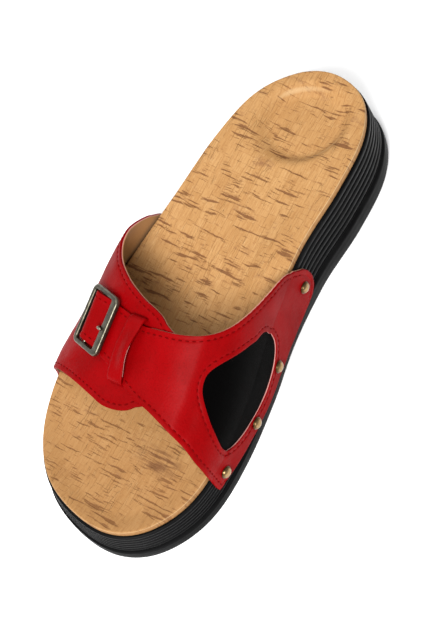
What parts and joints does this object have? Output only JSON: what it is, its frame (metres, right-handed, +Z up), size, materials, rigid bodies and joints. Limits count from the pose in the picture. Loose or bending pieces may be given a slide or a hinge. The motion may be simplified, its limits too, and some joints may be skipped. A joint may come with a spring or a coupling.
{
  "type": "slipper",
  "caption": "Mule slide for the right foot: cork footbed on a ribbed black wedge, wide red strap with stretch window, buckle, keeper and domed studs.",
  "frame": {"origin": "on the floor under the middle of the shoe's bounding box", "axes": "+Z up, -Y towards the toe, +X towards the inner side of the right foot"},
  "size_m": [0.1088, 0.2616, 0.0761],
  "materials": {
    "sole_rubber": "matte moulded black rubber",
    "wedge_rubber": "satin moulded black foam rubber with fine ribs",
    "cork": "natural cork sheet with dark flecks",
    "red_leather": "smooth red faux leather with a soft sheen",
    "keeper_leather": "smooth red faux leather with a soft sheen",
    "elastic": "matte black stretch cloth",
    "dark_bronze": "worn dark bronze",
    "prong_bronze": "worn dark bronze",
    "antique_brass": "polished antique brass"
  },
  "bodies": {
    "root": {"outsole": "sole_rubber", "midsole": "wedge_rubber", "footbed": "cork", "upper": "red_leather", "stretch_insert": "elastic", "keeper": "keeper_leather", "buckle_frame": "dark_bronze", "buckle_prong": "prong_bronze", "stud_inner_1": "antique_brass", "stud_inner_2": "antique_brass", "stud_inner_3": "antique_brass", "stud_inner_4": "antique_brass", "stud_outer_1": "antique_brass", "stud_outer_2": "antique_brass", "stud_outer_3": "antique_brass", "stud_outer_4": "antique_brass"}
  },
  "joints": []
}
